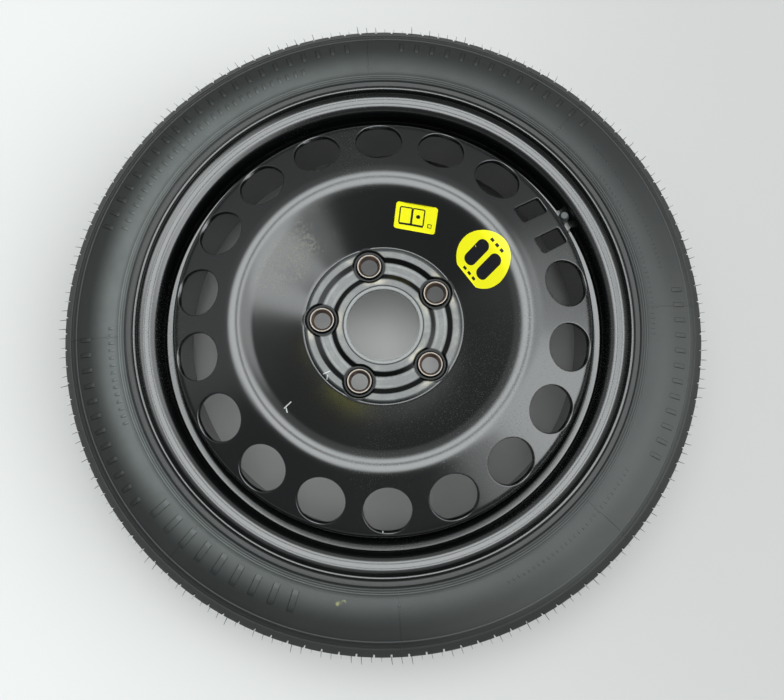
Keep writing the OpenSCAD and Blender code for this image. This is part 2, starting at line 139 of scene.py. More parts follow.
class Surface(Graph):
    def __init__(self, name):
        self.material = bpy.data.materials.new(name)
        self.material.use_nodes = True
        super().__init__(self.material.node_tree)
        self.tree.nodes.clear()
        self.place = self.wire("ShaderNodeTexCoord", {}, {}, 3)
        parts = self.node("ShaderNodeSeparateXYZ", {}, {0: self.place})
        self.x, self.y, self.z = (Wire(self, parts.outputs[i]) * 1000.0 for i in range(3))
        self.radius = self.maths("SQRT", self.x * self.x + self.y * self.y)
        self.angle = self.maths("ARCTAN2", self.y, self.x) * degree

    def noise(self, scale, detail, rough):
        values = {"Vector": self.place, "Scale": scale, "Detail": detail, "Roughness": rough}
        return self.wire("ShaderNodeTexNoise", {}, values)

    def spots(self, scale, detail, rough, low, high):
        # noise pushed to spots with soft edges
        return self.step(self.noise(scale, detail, rough), low, high)

    def bump(self, height, distance):
        return self.wire("ShaderNodeBump", {}, {"Height": height, "Distance": distance * mm})

    def onPlane(self, angle, at, height=0.0, slope=0.0):
        # distances up and across a plane that lies on a wall of that slope
        a = math.radians(angle)
        out = self.x * math.cos(a) + self.y * math.sin(a)
        across = self.y * math.cos(a) - self.x * math.sin(a)
        return (out - at) * math.cos(slope) + (self.z - height) * math.sin(slope), across

    def patch(self, u, v, middle, half, corner, turn, edge=0.08):
        # 1 inside a rounded box
        a = math.radians(turn)
        du, dv = u - middle[0], v - middle[1]
        lengthwise, crosswise = du * math.cos(a) + dv * math.sin(a), dv * math.cos(a) - du * math.sin(a)
        sides = []
        for along, size in ((lengthwise, half[0]), (crosswise, half[1])):
            sides.append(self.maths("MAXIMUM", self.maths("ABSOLUTE", along) - (size - corner), 0.0))
        distance = self.maths("SQRT", sides[0] * sides[0] + sides[1] * sides[1]) - corner
        return self.step(distance, edge, -edge)

    def finish(self, **sockets):
        values = {key.replace("_", " "): value for key, value in sockets.items()}
        for key in ("Base Color", "Emission Color"):
            if key in values and not isinstance(values[key], Wire):
                values[key] = (*values[key], 1.0)
        shader = self.wire("ShaderNodeBsdfPrincipled", {}, values)
        self.node("ShaderNodeOutputMaterial", {}, {0: shader})
        return self.material


# outlines: corners [radius, height, bend radius], drawn at a distance to their left
def leftOf(v):
    return np.array([-v[1], v[0]])


def wayFrom(a, b):
    v = np.subtract(b[:2], a[:2]).astype(float)
    return v / np.hypot(*v)


def shiftedCorner(path, i, distance):
    here = np.array(path[i][:2], float)
    if i == 0:
        return here + distance * leftOf(wayFrom(path[0], path[1]))
    a = leftOf(wayFrom(path[i - 1], path[i]))
    if i == len(path) - 1:
        return here + distance * a
    b = leftOf(wayFrom(path[i], path[i + 1]))
    return here + distance * (a + b) / (1 + a @ b)


def bentOutline(path, distance, step):
    # bends are arcs in steps of about that many degrees, three times as many where the bend is 2 mm or less
    points = []
    for i, corner in enumerate(path):
        if i == 0 or i == len(path) - 1 or corner[2] == 0:
            points.append(shiftedCorner(path, i, distance))
            continue
        u, v = wayFrom(path[i - 1], path[i]), wayFrom(path[i], path[i + 1])
        way = 1 if u[0] * v[1] > u[1] * v[0] else -1
        radius = corner[2] - way * distance
        turn = math.acos(min(1.0, u @ v))
        start = shiftedCorner(path, i, distance) - radius * math.tan(turn / 2) * u
        middle = start + way * radius * leftOf(u)
        stepHere = step if corner[2] > 2 else step * 3
        count = max(1, math.ceil(math.degrees(turn) / stepHere))
        for k in range(count + 1):
            a = way * turn * k / count
            dx, dz = start - middle
            points.append(middle + [dx * math.cos(a) - dz * math.sin(a), dx * math.sin(a) + dz * math.cos(a)])
    return np.array(points)


def mirrored(path):
    return [[c[0], -c[1], *c[2:]] for c in reversed(path)]


class Section:
    # a dense line with its length along it, so that a point can be asked for by length or by radius
    def __init__(self, points):
        self.points = np.asarray(points, float)
        steps = np.diff(self.points, axis=0)
        lengths = np.hypot(*steps.T)
        self.along = np.concatenate([[0.0], np.cumsum(lengths)])
        ways = steps / lengths[:, None]
        ends = np.vstack([ways[:1], (ways[1:] + ways[:-1]) / 2, ways[-1:]])
        self.left = np.stack([-ends[:, 1], ends[:, 0]], 1) / np.hypot(*ends.T)[:, None]

    def at(self, s):
        return tuple(np.interp(s, self.along, self.points[:, k]) for k in (0, 1))

    def normal(self, s):
        return tuple(np.interp(s, self.along, self.left[:, k]) for k in (0, 1))

    def lengthAt(self, radius):
        return np.interp(radius, self.points[:, 0], self.along)


def ribbed(points, ribs):
    # low round ribs [radius, half width, height] raised from an outline, to its left
    spans = []
    for a, b in zip(points[:-1], points[1:]):
        spans.append(np.linspace(a, b, math.ceil(math.dist(a, b) / 5) + 1)[1:])
    line = Section(np.vstack([points[:1]] + spans))
    at = list(line.along)
    found = []
    for radius, half, height in ribs:
        peak = line.along[int(np.argmin(abs(line.points[:, 0] - radius)))]
        near = [s for s in line.along if abs(s - peak) < 12]
        fine = np.linspace(min(near), max(near), 400)
        peak = fine[int(np.argmin(abs(line.at(fine)[0] - radius)))]
        found.append((peak, half, height))
        at = [s for s in at if abs(s - peak) > half * 1.05]
        at += [peak + k * half for k in (-1, -0.66, -0.33, 0, 0.33, 0.66, 1)]
    at = np.array(sorted(at))
    lift = sum(h * (1 + np.cos(math.pi * np.clip((at - m) / w, -1, 1))) / 2 for m, w, h in found)
    r, z = line.at(at)
    nr, nz = line.normal(at)
    return np.stack([r + lift * nr, z + lift * nz], 1)


# meshes: points in millimetres, faces by index; doubles are merged and the normals turned outwards
def pieceFrom(name, points, faces, material, sharp=34.0, merge=0.002):
    mesh = bpy.data.meshes.new(name)
    mesh.from_pydata((np.asarray(points, float) * mm).tolist(), [], faces)
    soft = bmesh.new()
    soft.from_mesh(mesh)
    bmesh.ops.remove_doubles(soft, verts=soft.verts, dist=merge * mm)
    bmesh.ops.recalc_face_normals(soft, faces=soft.faces)
    soft.to_mesh(mesh)
    soft.free()
    return shaded(name, mesh, material, sharp)


def shaded(name, mesh, material, sharp=34.0):
    for polygon in mesh.polygons:
        polygon.use_smooth = True
    mesh.set_sharp_from_angle(angle=math.radians(sharp))
    mesh.materials.clear()
    mesh.materials.append(material)
    piece = bpy.data.objects.new(name, mesh)
    bpy.context.scene.collection.objects.link(piece)
    return piece


def turned(outline, count):
    # a closed outline turned about the wheel axis
    outline = np.asarray(outline, float)
    n = len(outline)
    turns = np.radians(np.arange(count) * 360.0 / count)
    points = np.stack([np.outer(np.cos(turns), outline[:, 0]), np.outer(np.sin(turns), outline[:, 0]),
                       np.tile(outline[:, 1], (count, 1))], 2).reshape(-1, 3)
    faces = [(k * n + i, (k + 1) % count * n + i, (k + 1) % count * n + (i + 1) % n, k * n + (i + 1) % n)
             for k in range(count) for i in range(n)]
    return points, faces


def tube(rows, n):
    # faces of a bar drawn as rows of n points each, closed at both ends
    sides = [(j * n + i, j * n + (i + 1) % n, (j + 1) * n + (i + 1) % n, (j + 1) * n + i)
             for j in range(rows - 1) for i in range(n)]
    return sides + [tuple(range(n)), tuple(range(rows * n - 1, (rows - 1) * n - 1, -1))]


def boxCorners(x, y, side, radius, steps):
    # the corners of a rounded box as four arcs; x, y and side place their middles
    return [[(sx * x + radius * math.cos(t), sy * y + side + radius * math.sin(t))
             for t in [math.pi / 2 * (k + j / steps) for j in range(steps + 1)]]
            for k, (sx, sy) in enumerate(((1, 1), (-1, 1), (-1, -1), (1, -1)))]


def evaluated(piece, name, material, sharp=34.0):
    # the piece with its modifiers worked in, as a plain mesh
    graph = bpy.context.evaluated_depsgraph_get()
    mesh = bpy.data.meshes.new_from_object(piece.evaluated_get(graph))
    mesh.name = name
    bpy.data.objects.remove(piece)
    return shaded(name, mesh, material, sharp)


def ringTree():
    # copies of one item on an arc round the axis, each with its own small turn and size
    tree = bpy.data.node_groups.new("ring of items", "GeometryNodeTree")
    sockets = {"Item": "NodeSocketObject", "Count": "NodeSocketInt", "Radius": "NodeSocketFloat",
               "Height": "NodeSocketFloat", "Start": "NodeSocketFloat", "Arc": "NodeSocketFloat",
               "Turn spread": "NodeSocketFloat", "Size spread": "NodeSocketFloat", "Seed": "NodeSocketInt",
               "Finish": "NodeSocketMaterial"}
    for name, kind in sockets.items():
        tree.interface.new_socket(name, in_out="INPUT", socket_type=kind)
    tree.interface.new_socket("Geometry", in_out="OUTPUT", socket_type="NodeSocketGeometry")
    g = Graph(tree)
    given = g.node("NodeGroupInput")
    want = {name: Wire(g, given.outputs[name]) for name in sockets}

    def spread(amount, offset):
        return g.wire("FunctionNodeRandomValue", {"data_type": "FLOAT"},
                      {2: 0.0 - amount, 3: amount, 8: want["Seed"] + offset}, 1)

    index = g.wire("GeometryNodeInputIndex")
    angle = want["Start"] + want["Arc"] * index / want["Count"]
    place = g.wire("ShaderNodeCombineXYZ", {}, {0: want["Radius"] * g.maths("COSINE", angle),
                                                1: want["Radius"] * g.maths("SINE", angle),
                                                2: want["Height"]})
    points = g.wire("GeometryNodePoints", {}, {"Count": want["Count"], "Position": place})
    turn = g.wire("ShaderNodeCombineXYZ", {}, {0: spread(want["Turn spread"], 0),
                                               1: spread(want["Turn spread"], 1), 2: angle})
    size = 1.0 + spread(want["Size spread"], 2)
    item = g.wire("GeometryNodeObjectInfo", {}, {"Object": want["Item"]}, 4)
    copies = g.wire("GeometryNodeInstanceOnPoints", {},
                    {"Points": points, "Instance": item, "Rotation": turn, "Scale": size})
    real = g.wire("GeometryNodeRealizeInstances", {}, {0: copies})
    named = g.wire("GeometryNodeSetMaterial", {}, {"Geometry": real, "Material": want["Finish"]})
    g.node("NodeGroupOutput", {}, {0: named})
    return tree


rings = ringTree()


def ringOf(name, item, finish, sharp=34.0, **wants):
    carrier = bpy.data.objects.new(name + "Carrier", bpy.data.meshes.new(name))
    bpy.context.scene.collection.objects.link(carrier)
    modifier = carrier.modifiers.new("ring", "NODES")
    modifier.node_group = rings
    values = {"Item": item, "Finish": finish, "Radius": 0.0, "Height": 0.0, "Start": 0.0, "Arc": 2 * math.pi,
              "Turn spread": 0.0, "Size spread": 0.0, "Seed": 1}
    values.update(wants)
    for socket in rings.interface.items_tree:
        if socket.in_out == "INPUT":
            modifier[socket.identifier] = values[socket.name]
    made = evaluated(carrier, name, finish, sharp)
    bpy.data.objects.remove(item)
    return made


def triangles(*pieces):
    return [sum(len(face.vertices) - 2 for face in piece.data.polygons) for piece in pieces]


def joined(name, pieces):
    # several meshes of one material as one piece
    whole = bmesh.new()
    for piece in pieces:
        whole.from_mesh(piece.data)
    mesh = pieces[0].data.copy()
    whole.to_mesh(mesh)
    whole.free()
    material = mesh.materials[0]
    for piece in pieces:
        bpy.data.objects.remove(piece)
    return shaded(name, mesh, material)


# finishes: colours are linear, noise is in spots per metre, lengths are in millimetres and angles in degrees
paintLook = {"dark": (0.0015, 0.002, 0.0022), "haze": (0.009, 0.0105, 0.0105), "speck": (0.10, 0.105, 0.10),
             "rough": 0.15, "ior": 1.95, "ripple": 0.012, "discRipple": 0.03}


def blackPaint(name, worn=False):
    # dip paint: near black and glossy, with a thin haze of dust and fine specks
    look = paintLook
    s = Surface(name)
    haze = s.noise(9.0, 4.0, 0.55)
    specks = s.spots(900.0, 2.0, 0.6, 0.56, 0.72) * s.spots(4.0, 2.0, 0.5, 0.45, 0.70)
    colour = s.mix(haze * 0.5, look["dark"], look["haze"])
    colour = s.mix(specks * 0.5, colour, look["speck"])
    rough = look["rough"] + haze * 0.10 + specks * 0.25
    ripple = s.noise(55.0, 2.0, 0.5)
    paintedShade = 0.0
    # when worn, the hub's wear with its painted shade and highlight, dust, the worn bend and pale marks are
    # added
    if worn:
        colour, rough, paintedShade = hubWearAndPaintedLight(s, colour, rough)
        colour, rough = dusty(s, *wornEdgeAndHighlight(s, colour, rough))
        colour, rough = marked(s, colour, rough)
    normal = s.bump(ripple, look["discRipple"] if worn else look["ripple"])
    # the metallic share darkens the painted shade in the hub's grooves and moats
    return s.finish(Base_Color=colour, Roughness=rough, Metallic=paintedShade * 0.85, IOR=look["ior"], Normal=normal)


# wear and painted light of the hub face: rings are bands (from, to, soft edge) of distance to the axis
# the grooves and the dark colour in them are painted shade
hubLook = {"grooves": ((42.7, 46.9, 0.9), (57.5, 62.3, 0.9), (35.5, 36.5, 0.4)), "lip": (33.4, 34.9, 0.25),
           "brightRings": ((48.0, 49.8, 0.6), (54.6, 56.4, 0.6)),
           "tanRings": ((37.5, 41.5, 0.6), (63.6, 67.4, 0.7)),
           "greys": ((0.026, 0.031, 0.031), (0.100, 0.111, 0.106)), "bright": (0.20, 0.21, 0.20),
           "paintedShade": (0.010, 0.0105, 0.0105), "tans": ((0.24, 0.21, 0.14), (0.42, 0.39, 0.28)),
           "lipHighlight": (0.15, 0.16, 0.155), "rusts": ((0.030, 0.024, 0.022), (0.110, 0.062, 0.042)),
           "seatEdge": (0.44, 0.36, 0.28)}


def hubWearAndPaintedLight(s, colour, rough):
    # the clamped hub face is rubbed grey, tan at its raised edges, with coppery bolt seats and painted shade
    look, half = hubLook, 180.0 / hub["bolts"]
    turn = s.wire("ShaderNodeMath", {"operation": "WRAP"}, {0: s.angle, 1: half, 2: -half}) / degree
    across = s.radius * s.maths("COSINE", turn) - hub["pcd"] / 2
    aside = s.radius * s.maths("SINE", turn)
    toBolt = s.maths("SQRT", across * across + aside * aside)
    spots = s.spots(70.0, 4.0, 0.65, 0.40, 0.64)
    streaks = s.spots(22.0, 5.0, 0.7, 0.35, 0.65)
    rubbed = s.step(s.radius, 70.5, 68.0) * s.step(s.z, 2.6, 3.6)
    # painted shade: the moats round the bolts and the grooves get a dark, metallic colour where shade falls
    moat = s.step(toBolt, 16.0, 13.8)
    dark = s.maths("MINIMUM", moat + s.bands(s.radius, look["grooves"]), 1.0)
    clean = rubbed * (1.0 - dark)
    grey = s.mix(spots * streaks, *look["greys"])
    grey = s.mix(s.bands(s.radius, look["brightRings"]) * streaks * 0.7, grey, look["bright"])
    colour = s.mix(clean, colour, grey)
    colour = s.mix(rubbed * dark, colour, look["paintedShade"])
    edges = s.maths("MINIMUM", s.bands(s.radius, look["tanRings"]), 1.0)
    edges = edges * s.spots(26.0, 3.0, 0.6, 0.44, 0.62) * (1.0 - moat)
    nearBolt = s.step(toBolt, 24.0, 15.5)
    colour = s.mix(edges * (0.12 + nearBolt * 0.75), colour, s.mix(spots, *look["tans"]))
    # painted highlight: a pale ring on the bore's lip where its chamfer catches the light
    lip = s.band(s.radius, *look["lip"]) * s.step(s.z, 5.0, 5.8)
    colour = s.mix(lip, colour, look["lipHighlight"])
    seat = s.step(toBolt, 10.9, 10.5)
    rust = s.mix(s.spots(120.0, 4.0, 0.7, 0.4, 0.62), *look["rusts"])
    colour = s.mix(seat, colour, s.mix(s.band(toBolt, 9.5, 10.5, 0.2), rust, look["seatEdge"]))
    return colour, rough + clean * 0.16 + seat * 0.16, rubbed * dark * (1.0 - seat)


def dusty(s, colour, rough):
    # a speckled patch of dry dust on the dished wall
    patch = s.band(s.angle, 92.0, 138.0, 14.0) * s.band(s.radius, 84.0, 113.0, 8.0) * s.step(s.z, 5.0, 9.0)
    share = patch * (s.spots(330.0, 3.0, 0.7, 0.44, 0.62) * s.spots(26.0, 3.0, 0.6, 0.36, 0.6))
    return s.mix(share * 0.6, colour, (0.23, 0.22, 0.18)), rough + share * 0.25


def wornEdgeAndHighlight(s, colour, rough):
    # the disc's outer bend is worn along two thirds of its turn, and its grey line is partly a painted
    # highlight
    line = s.band(s.z, 12.4, 13.6, 0.35) * s.step(s.radius, 183.0, 184.0) * s.band(s.angle, -82.0, 158.0, 8.0)
    line = line * s.spots(45.0, 3.0, 0.6, 0.30, 0.44)
    return s.mix(line, colour, (0.27, 0.28, 0.27)), rough + line * 0.12


# pale marks: angle and radius of a group, then the place, half length and turn of each stroke in it
# the first two groups are paint-pen strokes, the last a small pale dot
paleMarks = ((-168.5, 110.0, ((0, 0, 4.2, 8), (3.4, 3.2, 2.4, 64))),
              (-170.8, 66.0, ((0, 0, 3.6, -20), (2.4, 3.6, 2.0, 38))), (-121.5, 180.5, ((0, 0, 0.9, 0),)))


def marked(s, colour, rough):
    for angle, radius, strokes in paleMarks:
        u, v = s.onPlane(angle, radius)
        v = v + (s.noise(160.0, 2.0, 0.5) - 0.5) * 1.2
        for x, y, length, turn in strokes:
            stroke = s.patch(u, v, (x, y), (length, 0.45), 0.4, turn, 0.15) * s.step(s.z, -30.0, -20.0)
            colour = s.mix(stroke * 0.85, colour, (0.62, 0.64, 0.62))
            rough = rough + stroke * 0.3
    return colour, rough


# the sheen colour and the side where it is strongest are painted light
rubberLook = {"dull": ((0.005, 0.0063, 0.0061), (0.014, 0.0160, 0.0150)), "paintedSheen": (0.125, 0.143, 0.137),
              "paintedLightSide": 140.0, "lighterSide": (0.058, 0.064, 0.060), "bead": (0.006, 0.007, 0.007),
              "chalk": (0.24, 0.25, 0.09), "chalkAt": (-129.8, 241.0)}


def rubber():
    # cured rubber: matt, smoother along the middle of the wall and greyed there by a painted sheen
    look = rubberLook
    s = Surface("tyre rubber")
    dust = s.noise(14.0, 5.0, 0.6)
    fine = s.noise(420.0, 3.0, 0.6)
    cloud = s.noise(30.0, 3.0, 0.6)
    # painted sheen: a greyer band along the middle of the wall stands in for light reflected there
    paintedSheen = s.step(s.radius, 224.0, 232.0) * s.step(s.radius, 262.0, 240.0)
    # painted light: the sheen is strongest towards the side the light comes from
    lit = s.maths("COSINE", (s.angle - look["paintedLightSide"]) / degree) * 0.5 + 0.5
    bead = s.step(s.radius, 226.5, 224.5)
    # a mottled lighter patch on the outer wall, on one side
    lighterSide = s.step(s.radius, 234.0, 250.0) * s.band(s.angle, -102.0, -20.0, 26.0)
    lighterSide = lighterSide * s.step(s.radius, 279.0, 272.0)
    colour = s.mix(dust, *look["dull"])
    colour = s.mix(paintedSheen * (0.35 + cloud * 0.6) * (0.2 + lit * lit * 0.8), colour, look["paintedSheen"])
    colour = s.mix(lighterSide * (0.3 + dust * 0.5), colour, look["lighterSide"])
    colour = s.mix(bead, colour, look["bead"])
    u, v = s.onPlane(*look["chalkAt"])
    chalk = s.patch(u, v, (0, 0), (1.5, 4.2), 1.2, 24.0, 0.9) * s.step(s.z, 0.0, 4.0)
    colour = s.mix(chalk * s.spots(90.0, 3.0, 0.7, 0.42, 0.55), colour, look["chalk"])
    rings = s.maths("SINE", s.radius * 9.0)
    rough = 0.45 - paintedSheen * 0.12 + dust * 0.10 - bead * 0.16
    return s.finish(Base_Color=colour, Roughness=rough, IOR=1.5, Normal=s.bump(fine + rings * 0.12, 0.05))


# the glow is painted light that brightens the yellow film
printLook = {"yellows": ((0.86, 0.86, 0.008), (0.98, 0.95, 0.02)), "ink": (0.012, 0.012, 0.016),
             "glow": (0.20, 0.175, 0.0)}


def printed(name, angle, spot, shapes):
    # yellow film with plain dark shapes: [middle, half size, corner, turn, line width or 0 for solid]
    look = printLook
    s = Surface(name)
    height = disc["valley"][1] + (spot - disc["valley"][0]) * math.tan(wallSlope)
    u, v = s.onPlane(angle, spot, height, wallSlope)
    c, w = math.cos(label["turn"]), math.sin(label["turn"])
    u, v = u * c + v * w, v * c - u * w
    grain = s.noise(300.0, 3.0, 0.6)
    ink = None
    for middle, half, corner, turn, line in shapes:
        shape = s.patch(u, v, middle, half, corner, turn)
        if line:
            inside = (half[0] - line, half[1] - line)
            shape = shape - s.patch(u, v, middle, inside, max(0.15, corner - line), turn)
        ink = shape if ink is None else s.maths("MAXIMUM", ink, shape)
    ink = ink * (1.0 - s.spots(240.0, 2.0, 0.6, 0.74, 0.80))
    colour = s.mix(ink, s.mix(grain, *look["yellows"]), look["ink"])
    # the yellow also glows a little, as painted light
    return s.finish(Base_Color=colour, Roughness=0.34 + grain * 0.1, IOR=1.45, Normal=s.bump(grain, 0.008),
                    Emission_Color=s.mix(ink, look["glow"], (0.0, 0.0, 0.0)), Emission_Strength=1.0)


def plain(name, colour, rough, metal=0.0, ior=1.5):
    # a small fitting: one colour with a fine mottle in its colour, gloss and relief
    s = Surface(name)
    grain = s.noise(260.0, 4.0, 0.6)
    dark, pale = (tuple(c * share for c in colour) for share in (0.75, 1.25))
    return s.finish(Base_Color=s.mix(grain, dark, pale), Roughness=rough + (grain - 0.5) * 0.2,
                    Metallic=metal, IOR=ior, Normal=s.bump(grain, 0.02))


# wheel sizes in millimetres; heights of rim and tyre are from the rim's middle plane
wheel = {"rimRadius": 202.8, "halfWidth": 50.8, "flange": 17.3, "curl": 9.5, "lip": 0.3, "roll": 0.9,
         "sheet": 2.8, "seat": 17.0, "seatSlope": 5.0, "beadBend": 6.5, "hump": 1.3, "humpWidth": 3.5,
         "wellDepth": 14.0, "wellOut": 9.5, "wellIn": -14.5, "shelf": 24.5, "shelfFall": 1.8, "offset": 41.0}
middle = -wheel["offset"]
seatEnd = wheel["halfWidth"] - wheel["seat"]
seatEndRadius = wheel["rimRadius"] - wheel["seat"] * math.tan(math.radians(wheel["seatSlope"]))
flangeRadius = wheel["rimRadius"] + wheel["flange"]


def rimEdge(floorEnd):
    # corners of one half of the rim's outer face, from the flange to the well
    w = wheel
    under = w["shelf"] - w["sheet"]
    humpRadius = seatEndRadius + w["hump"]
    well = w["rimRadius"] - w["wellDepth"]
    return [[flangeRadius, w["halfWidth"] + w["curl"] + w["lip"], 0],
            [flangeRadius, w["halfWidth"], w["curl"]],
            [w["rimRadius"], w["halfWidth"], w["beadBend"]], [seatEndRadius, seatEnd, 6],
            [humpRadius, seatEnd - w["humpWidth"], 3], [humpRadius - 0.4, under, 4.5],
            [well + 4, under - w["shelfFall"], 4], [well, floorEnd, 5]]


def raised(points, height):
    return np.asarray(points) + [0, height]


valve = {"radius": 194.3, "sink": 1.6, "lean": 2.5, "length": 23.0, "thread": 7.7, "threadLength": 8.0,
         "pitch": 0.794, "threadDepth": 0.42, "chamfer": 0.5, "bore": 4.4, "wall": 0.85, "foot": 15.0,
         "footGap": 0.3, "hole": 11.3, "pocket": 6.0, "cupHeight": 8.5}
lean = math.radians(valve["lean"])
valveSeat = np.array([valve["radius"], 0.0, middle + wheel["shelf"] - valve["sink"]])


def onValve(points):
    # from the valve's own axis, z = 0 on its seat, to the wheel
    p = np.atleast_2d(np.asarray(points, float))
    x = p[:, 0] * math.cos(lean) - p[:, 2] * math.sin(lean)
    z = p[:, 0] * math.sin(lean) + p[:, 2] * math.cos(lean)
    return np.stack([x, p[:, 1], z], 1) + valveSeat


def rod(name, radius, low, high):
    points, faces = turned([[0.0, low], [radius, low], [radius, high], [0.0, high]], 64)
    return pieceFrom(name, onValve(points), faces, bare)


def cut(piece, tool, operation):
    modifier = piece.modifiers.new(tool.name, "BOOLEAN")
    modifier.operation, modifier.object, modifier.solver = operation, tool, "EXACT"


def makeRim(material):
    edge = rimEdge(wheel["wellOut"]) + mirrored(rimEdge(-wheel["wellIn"]))
    outer, inner = bentOutline(edge, 0, 7), bentOutline(edge, -wheel["sheet"], 7)
    turns = np.linspace(0, math.pi, 9)[1:-1, None]
    ends = []
    for near, far, way in ((inner[0], outer[0], 1), (outer[-1], inner[-1], -1)):
        bulge = np.array([0, wheel["roll"] * way]) * np.sin(turns)
        ends.append((near + far) / 2 + (near - far) / 2 * np.cos(turns) + bulge)
        near[1] -= way * 0.02
    outline = np.vstack([outer, ends[1], inner[::-1], ends[0]])
    points, faces = turned(raised(outline, middle), 320)
    whole = pieceFrom("rimBlank", points, faces, material)
    pocketRadius = valve["foot"] / 2 + valve["footGap"]
    cup = rod("valveCup", pocketRadius + wheel["sheet"], -wheel["sheet"], valve["cupHeight"])
    pocket = rod("valvePocket", pocketRadius, 0.0, valve["pocket"])
    hole = rod("valveHole", valve["hole"] / 2, -2 * wheel["sheet"], 2 * wheel["sheet"])
    for tool, operation in ((cup, "UNION"), (pocket, "DIFFERENCE"), (hole, "DIFFERENCE")):
        cut(whole, tool, operation)
    rim = evaluated(whole, "rim_pressing", material)
    for tool in (cup, pocket, hole):
        bpy.data.objects.remove(tool)
    return rim


# the disc: one pressed sheet, drawn on its outer face by length along the section and by angle
hub = {"bore": 65.1, "pcd": 110.0, "bolts": 5, "hole": 15.0, "seat": 20.0, "seatSlope": 60.0, "seatTop": 6.8,
       "ringTop": 6.2, "land": 3.8, "ringRadii": (42.2, 46.6, 57, 62.2, 68), "ringBend": 4.2, "edgeBend": 4,
       "boss": (10.8, 12.2), "moat": (13.6, 15.6), "lobe": (15.8, 17.6), "lobeRise": (2, 9), "dish": 1.6,
       "end": 76.0}
disc = {"sheet": 3.8, "crownTop": 46.6, "crownAt": 123.0, "crownBend": 25.0, "cone": 23.0, "skirt": 185.92,
        "skirtBend": 12.0, "skirtEnd": 9.0, "valley": (71.5, 4.2), "vents": 18, "vent": 41.5, "ventAt": 163.5,
        "window": (30.0, 15.0, 2.5), "web": 17.5, "roll": 0.9, "coneStart": 139.0}
coneSlope = math.radians(disc["cone"])
wallSlope = math.atan2(disc["crownTop"] - disc["valley"][1], disc["crownAt"] - disc["valley"][0])
skirtTop = disc["crownTop"] - (disc["skirt"] - disc["crownAt"]) * math.tan(coneSlope)
ventHeight = disc["crownTop"] - (disc["ventAt"] - disc["crownAt"]) * math.tan(coneSlope)
boreRing, landIn, landOut, outerRing, hubEdge = hub["ringRadii"]
discCorners = [[hub["bore"] / 2, hub["ringTop"], 0], [boreRing, hub["ringTop"], hub["ringBend"]],
               [landIn, hub["land"], hub["ringBend"]], [landOut, hub["land"], hub["ringBend"]],
               [outerRing, hub["ringTop"], hub["ringBend"]], [hubEdge, hub["ringTop"], hub["edgeBend"]],
               [*disc["valley"], hub["dish"]], [disc["crownAt"], disc["crownTop"], disc["crownBend"]],
               [disc["skirt"], skirtTop, disc["skirtBend"]], [disc["skirt"], middle - disc["skirtEnd"], 0]]
face = Section(bentOutline(discCorners, 0, 4))
hubEnd, coneStart = face.lengthAt(hub["end"]), face.lengthAt(disc["coneStart"])
skirtStart = face.along[-2]


def easing(x, low, high):
    t = np.clip((np.asarray(x, float) - low) / (high - low), 0, 1)
    return t * t * (3 - 2 * t)


def discPoints(s, angle, back=False, sink=0.0):
    # points on the outer or the inner face of the sheet, or a little below the outer one
    s, angle = np.asarray(s, float), np.asarray(angle, float)
    r, z = face.at(s)
    nr, nz = face.normal(s)
    r, z = r - sink * nr, z - sink * nz
    half, boltRadius = 180.0 / hub["bolts"], hub["pcd"] / 2
    turn = np.radians((np.degrees(angle) + half) % (2 * half) - half)
    toBolt = np.hypot(r * np.cos(turn) - boltRadius, r * np.sin(turn))
    near = easing(toBolt, *hub["moat"])
    isHub = r < 78
    lobeHere = 1 - easing(toBolt, *hub["lobe"])
    lobeHere = lobeHere * easing(r * np.cos(turn), *(boltRadius + reach for reach in hub["lobeRise"]))
    z = np.where(isHub, np.maximum(z, hub["land"] + (hub["ringTop"] - hub["land"]) * lobeHere), z)
    z = np.where(isHub, hub["land"] + (z - hub["land"]) * near, z)
    nr = np.where(isHub, nr * near, nr)
    if back:
        r, z = r - disc["sheet"] * nr, z - disc["sheet"] * nz
    else:
        hole, seat = hub["hole"] / 2, hub["seat"] / 2
        low = hub["seatTop"] - (seat - hole) * math.tan(math.radians(hub["seatSlope"]))
        top, foot = hub["boss"]
        boss = np.interp(toBolt, [hole, seat, top, foot], [low, hub["seatTop"], hub["seatTop"], hub["land"]])
        z = np.where(isHub & (toBolt < foot), boss, z)
    return np.stack([r * np.cos(angle), r * np.sin(angle), z], -1)


def sectorFaces(points, loops, keep):
    # triangles between the points of one sector, in length along the section and length round it
    edges = []
    for loop in loops:
        edges += [(loop[i], loop[(i + 1) % len(loop)]) for i in range(len(loop))]
    result = delaunay_2d_cdt([Vector(p) for p in points], edges, [], 0, 1e-6)
    flat = np.array([tuple(v) for v in result[0]])
    faces = np.array([f for f in result[2] if len(f) == 3])
    middles = flat[faces].mean(1)
    return flat, faces[keep(middles)]


